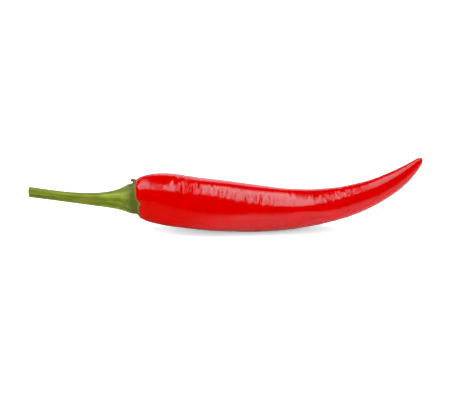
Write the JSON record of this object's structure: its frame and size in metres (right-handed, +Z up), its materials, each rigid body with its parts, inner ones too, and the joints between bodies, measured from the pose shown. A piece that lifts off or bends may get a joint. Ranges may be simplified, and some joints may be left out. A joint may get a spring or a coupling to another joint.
{
  "type": "chilli pepper",
  "caption": "Fresh red chilli lying on its belly: a glossy curved pod with a blunt upturned tip, a toothed green calyx and a ridged green stem with a cut end",
  "frame": {"origin": "centre of the bounding box, on the surface the pod rests on", "axes": "+X from the cut end of the stem to the tip of the pod, +Z up, the plane of the pod's bend is XZ"},
  "size_m": [0.1308, 0.0194, 0.0251],
  "materials": {
    "red_skin": "gloss",
    "calyx_green": "satin",
    "stem_green": "satin"
  },
  "bodies": {
    "root": {"pod": "red_skin", "calyx": "calyx_green", "stem": "stem_green"}
  },
  "joints": []
}
